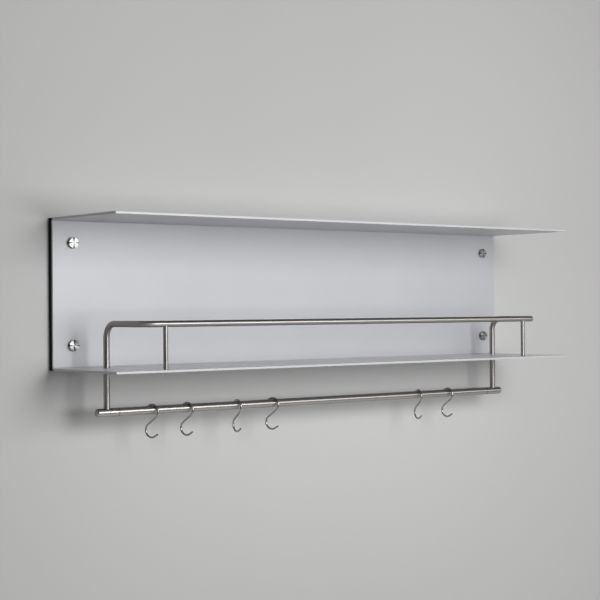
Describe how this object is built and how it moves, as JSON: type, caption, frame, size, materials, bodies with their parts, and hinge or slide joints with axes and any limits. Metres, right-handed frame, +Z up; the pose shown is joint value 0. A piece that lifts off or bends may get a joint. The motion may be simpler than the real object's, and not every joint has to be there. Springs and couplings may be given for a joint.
{
  "type": "wall shelf with gallery rod and hook rail",
  "caption": "Folded metal wall shelf with a top plate, a low bent-rod gallery on the lower shelf, and a round hanging rail below that carries sliding S-hooks.",
  "frame": {"origin": "centre of the four wall screws' pattern, on the wall's surface, behind the middle of the back panel", "axes": "+X along the wall to the right as seen from the room, +Y into the wall, +Z up"},
  "size_m": [0.8, 0.196, 0.2838],
  "materials": {
    "sheet_aluminium": "fine blasted and silver anodised, matt",
    "strip_rubber": "matt black",
    "rod_steel": "stainless, ground lengthwise, satin",
    "rail_steel": "stainless tube, ground lengthwise, satin",
    "hook_steel": "stainless wire, drawn and tumbled",
    "cap_steel": "stainless, faced in the lathe, bright",
    "base_steel": "stainless, turned",
    "screw_steel": "stainless, as made"
  },
  "bodies": {
    "shelf": {"shelf_sheet": "sheet_aluminium", "gallery_rod": "rod_steel", "hanging_rail": "rail_steel", "spacer_strip_left": "strip_rubber", "spacer_strip_right": "strip_rubber", "front_post_left": "rod_steel", "front_post_right": "rod_steel", "post_screw_left": "screw_steel", "post_screw_right": "screw_steel", "hanger_rod_left": "rod_steel", "hanger_rod_right": "rod_steel", "rail_end_left": "rail_steel", "rail_end_right": "rail_steel", "grub_screw_left": "screw_steel", "grub_screw_right": "screw_steel", "fixing_base_upper_left": "base_steel", "fixing_base_lower_left": "base_steel", "fixing_base_upper_right": "base_steel", "fixing_base_lower_right": "base_steel", "wall_screw_upper_left": "screw_steel", "wall_screw_lower_left": "screw_steel", "wall_screw_upper_right": "screw_steel", "wall_screw_lower_right": "screw_steel", "fixing_cap_upper_left": "cap_steel", "fixing_cap_lower_left": "cap_steel", "fixing_cap_upper_right": "cap_steel", "fixing_cap_lower_right": "cap_steel"},
    "hook_1": {"s_hook_1": "hook_steel"},
    "hook_2": {"s_hook_2": "hook_steel"},
    "hook_3": {"s_hook_3": "hook_steel"},
    "hook_4": {"s_hook_4": "hook_steel"},
    "hook_5": {"s_hook_5": "hook_steel"},
    "hook_6": {"s_hook_6": "hook_steel"}
  },
  "joints": [
    {"name": "hook_1_slide", "type": "slide", "parent": "shelf", "child": "hook_1", "axis": [1, 0, 0], "range_m": [-0.058, 0.0215]},
    {"name": "hook_2_slide", "type": "slide", "parent": "shelf", "child": "hook_2", "axis": [1, 0, 0], "range_m": [-0.022, 0.0355]},
    {"name": "hook_3_slide", "type": "slide", "parent": "shelf", "child": "hook_3", "axis": [1, 0, 0], "range_m": [-0.038, 0.027]},
    {"name": "hook_4_slide", "type": "slide", "parent": "shelf", "child": "hook_4", "axis": [1, 0, 0], "range_m": [-0.024, 0.1315]},
    {"name": "hook_5_slide", "type": "slide", "parent": "shelf", "child": "hook_5", "axis": [1, 0, 0], "range_m": [-0.133, 0.026]},
    {"name": "hook_6_slide", "type": "slide", "parent": "shelf", "child": "hook_6", "axis": [1, 0, 0], "range_m": [-0.027, 0.0905]}
  ]
}
